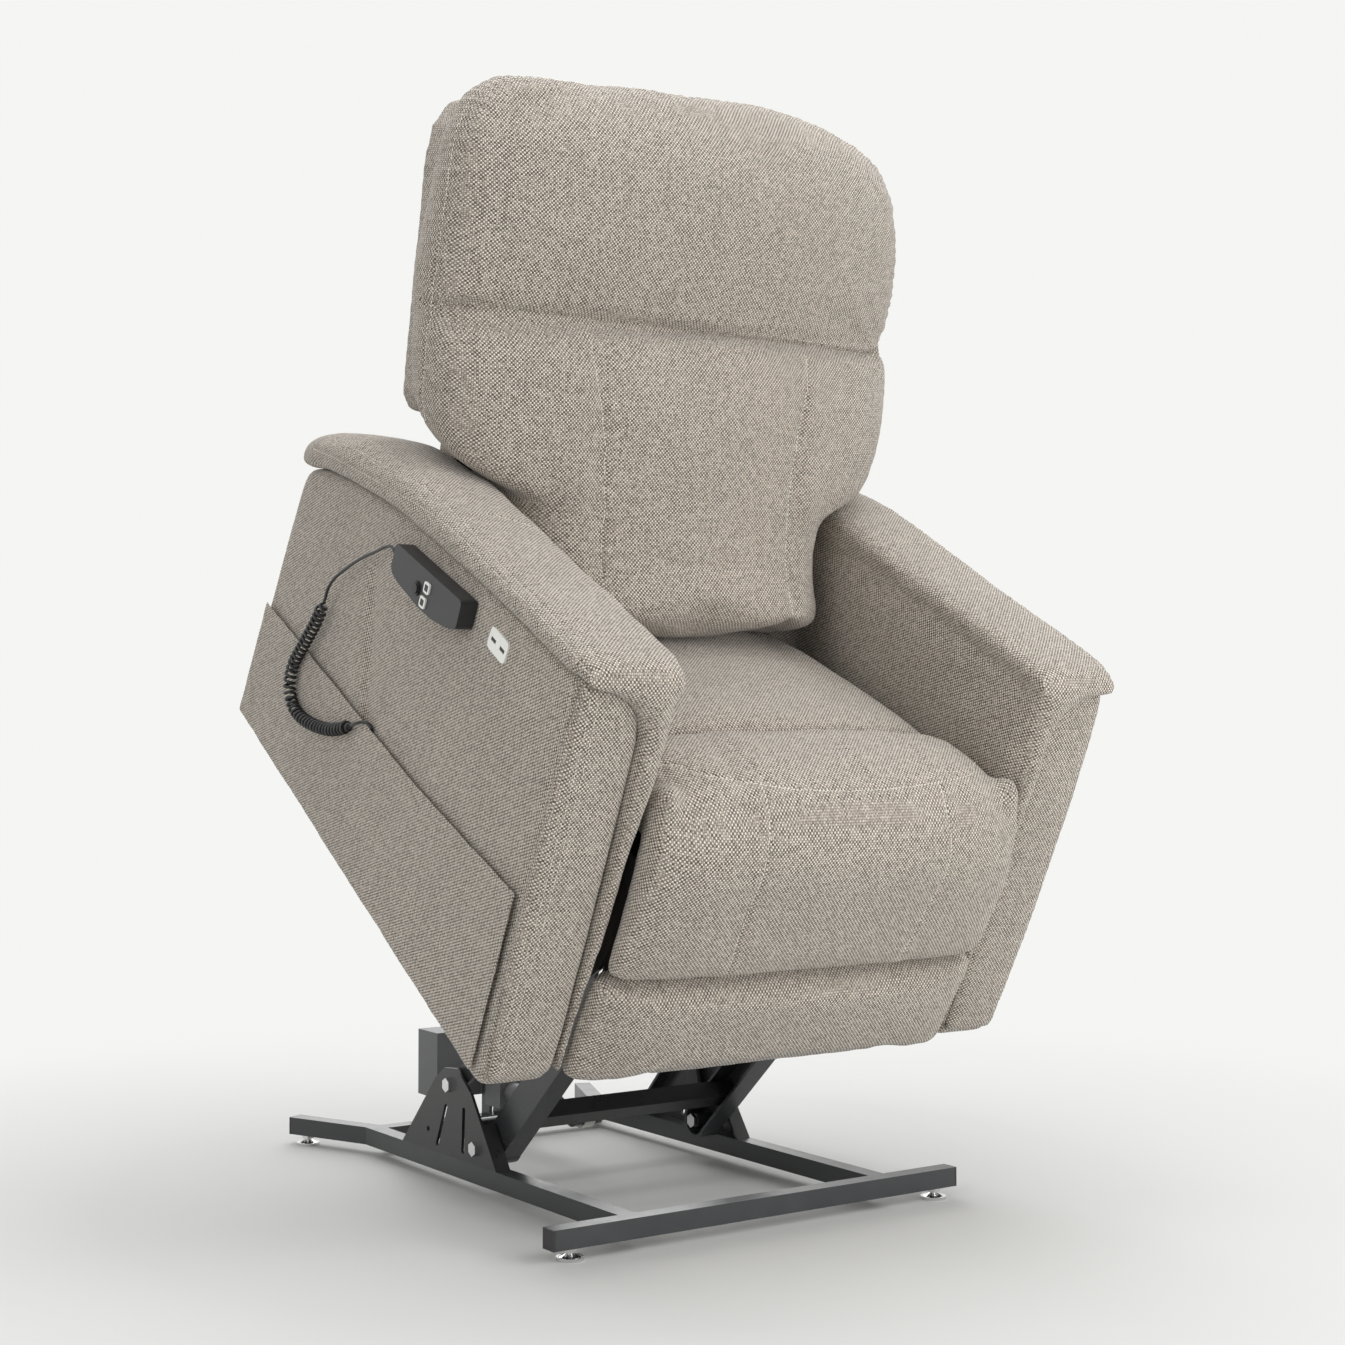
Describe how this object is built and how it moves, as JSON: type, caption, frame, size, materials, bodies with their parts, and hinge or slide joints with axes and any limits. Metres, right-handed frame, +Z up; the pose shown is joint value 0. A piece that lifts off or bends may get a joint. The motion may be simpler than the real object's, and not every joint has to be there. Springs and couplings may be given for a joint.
{
  "type": "power lift recliner",
  "caption": "Upholstered power lift recliner in its raised, forward-tilted pose, with a side pocket, a corded handset and a steel lift base.",
  "frame": {"origin": "centre of the bounding box on the floor, chair raised as in the picture", "axes": "+X to the sitter's left, -Y the way the sitter faces, +Z up; every joint is 0 in the raised pose"},
  "size_m": [0.8315, 1.0632, 1.4732],
  "materials": {
    "frame": "satin",
    "mechanism": "satin",
    "black_steel": "satin",
    "zinc": "satin",
    "chrome": "polished",
    "plastic": "matt",
    "motor_plastic": "matt",
    "white_plastic": "gloss",
    "handset_plastic": "matt",
    "cord": "matt",
    "board": "matt",
    "fabric": "woven"
  },
  "bodies": {
    "base": {"rail_right": "frame", "rail_left": "frame", "front_bar": "frame", "rear_bar": "frame", "end_caps": "plastic", "levelling_feet": "chrome", "tower_right": "frame", "tower_left": "frame", "tower_bolts": "chrome"},
    "front_arms": {"front_arm_right": "mechanism", "front_arm_left": "mechanism", "lift_cross_tube": "black_steel"},
    "chair": {"carriage_right": "mechanism", "carriage_left": "mechanism", "carriage_pins": "chrome", "seat_box": "black_steel", "recliner_plates": "mechanism", "seat_springs": "zinc", "seat_cushion": "fabric", "seat_fold": "fabric", "control_box": "plastic", "side_panel_right": "fabric", "side_panel_left": "fabric", "arm_pad_right": "fabric", "arm_pad_left": "fabric", "inner_pad_right": "fabric", "inner_pad_left": "fabric", "arm_front_right": "fabric", "arm_front_left": "fabric", "side_pocket": "fabric", "pocket_seam": "fabric", "charging_socket": "white_plastic", "handset_holder": "plastic", "handset": "handset_plastic", "strain_relief": "cord", "cord_stretch": "cord", "cord_coil": "cord", "cord_sleeve": "cord"},
    "rear_links": {"rear_link_right": "mechanism", "rear_link_left": "mechanism", "torque_tube": "mechanism"},
    "lift_actuator": {"lift_motor": "motor_plastic"},
    "lift_actuator_rod": {"lift_rod": "zinc"},
    "back": {"back_frame": "black_steel", "outer_back": "fabric", "lumbar_cushion": "fabric", "headrest_cushion": "fabric"},
    "back_actuator": {"back_motor": "motor_plastic"},
    "back_actuator_rod": {"back_rod": "zinc"},
    "leg_rest": {"leg_board": "board", "foot_board": "board", "leg_pad": "fabric", "foot_pad": "fabric"},
    "leg_cranks": {"leg_tube": "mechanism"},
    "leg_drive_links": {"leg_links": "mechanism"},
    "leg_actuator": {"leg_motor": "motor_plastic"},
    "leg_actuator_rod": {"leg_rod": "zinc"},
    "knob": {"lift_knob": "plastic"},
    "upper_key": {"key_up": "white_plastic"},
    "lower_key": {"key_down": "white_plastic"}
  },
  "joints": [
    {"name": "lift", "type": "hinge", "parent": "base", "child": "front_arms", "pos_m": [0, 0.061, 0.062], "axis": [1, 0, 0], "range_deg": [0, 40]},
    {"name": "chair_tilt", "type": "hinge", "parent": "front_arms", "child": "chair", "pos_m": [0, -0.19018, 0.28817], "axis": [1, 0, 0], "range_deg": [-73, 0]},
    {"name": "rear_link_swing", "type": "hinge", "parent": "base", "child": "rear_links", "pos_m": [0, 0.134, 0.137], "axis": [1, 0, 0], "range_deg": [0, 38.5]},
    {"name": "lift_actuator_pivot", "type": "hinge", "parent": "base", "child": "lift_actuator", "pos_m": [0, 0.3765, 0.08], "axis": [1, 0, 0], "range_deg": [-1, 1]},
    {"name": "lift_actuator_stroke", "type": "slide", "parent": "lift_actuator", "child": "lift_actuator_rod", "axis": [0, -1, -0.0037], "range_m": [-0.0405, 0]},
    {"name": "recline", "type": "hinge", "parent": "chair", "child": "back", "pos_m": [0, 0.08388, 0.71815], "axis": [-1, 0, 0], "range_deg": [0, 25]},
    {"name": "back_actuator_pivot", "type": "hinge", "parent": "chair", "child": "back_actuator", "pos_m": [0, -0.04389, 0.53877], "axis": [-1, 0, 0], "range_deg": [0, 2]},
    {"name": "back_actuator_stroke", "type": "slide", "parent": "back_actuator", "child": "back_actuator_rod", "axis": [0, 0.8535, 0.5211], "range_m": [-0.0405, 0]},
    {"name": "leg_rest_swing", "type": "hinge", "parent": "chair", "child": "leg_rest", "pos_m": [0, -0.38942, 0.47109], "axis": [-1, 0, 0], "range_deg": [0, 80], "deforming": ["seat_fold"]},
    {"name": "leg_crank_swing", "type": "hinge", "parent": "chair", "child": "leg_cranks", "pos_m": [0, -0.30856, 0.42766], "axis": [-1, 0, 0], "range_deg": [0, 80.5]},
    {"name": "leg_link_swing", "type": "hinge", "parent": "leg_cranks", "child": "leg_drive_links", "pos_m": [0, -0.23354, 0.30945], "axis": [-1, 0, 0], "range_deg": [-80.5, 0]},
    {"name": "leg_actuator_pivot", "type": "hinge", "parent": "chair", "child": "leg_actuator", "pos_m": [0, -0.09631, 0.51498], "axis": [-1, 0, 0], "range_deg": [0, 2]},
    {"name": "leg_actuator_stroke", "type": "slide", "parent": "leg_actuator", "child": "leg_actuator_rod", "axis": [0, -0.8354, -0.5496], "range_m": [0, 0.0665]},
    {"name": "knob_press", "type": "slide", "parent": "chair", "child": "knob", "axis": [1, 0, 0], "range_m": [0, 0.0015], "stiffness_N_per_m": 800, "springref_m": -0.0006},
    {"name": "upper_key_press", "type": "slide", "parent": "chair", "child": "upper_key", "axis": [1, 0, 0], "range_m": [0, 0.0015], "stiffness_N_per_m": 600, "springref_m": -0.0006},
    {"name": "lower_key_press", "type": "slide", "parent": "chair", "child": "lower_key", "axis": [1, 0, 0], "range_m": [0, 0.0015], "stiffness_N_per_m": 600, "springref_m": -0.0006}
  ],
  "couplings": [
    {"joint": "chair_tilt", "follows": "lift", "ratio": -1.81},
    {"joint": "rear_link_swing", "follows": "lift", "ratio": 0.945},
    {"joint": "lift_actuator_pivot", "follows": "lift", "ratio": -0.0018},
    {"joint": "lift_actuator_stroke", "follows": "lift", "m_per_rad": -0.05581},
    {"joint": "back_actuator_pivot", "follows": "recline", "ratio": 0.045},
    {"joint": "back_actuator_stroke", "follows": "recline", "m_per_rad": -0.0888},
    {"joint": "leg_crank_swing", "follows": "leg_rest_swing", "ratio": 1},
    {"joint": "leg_link_swing", "follows": "leg_rest_swing", "ratio": -1},
    {"joint": "leg_actuator_pivot", "follows": "leg_rest_swing", "ratio": 0.012},
    {"joint": "leg_actuator_stroke", "follows": "leg_rest_swing", "m_per_rad": 0.04645}
  ]
}
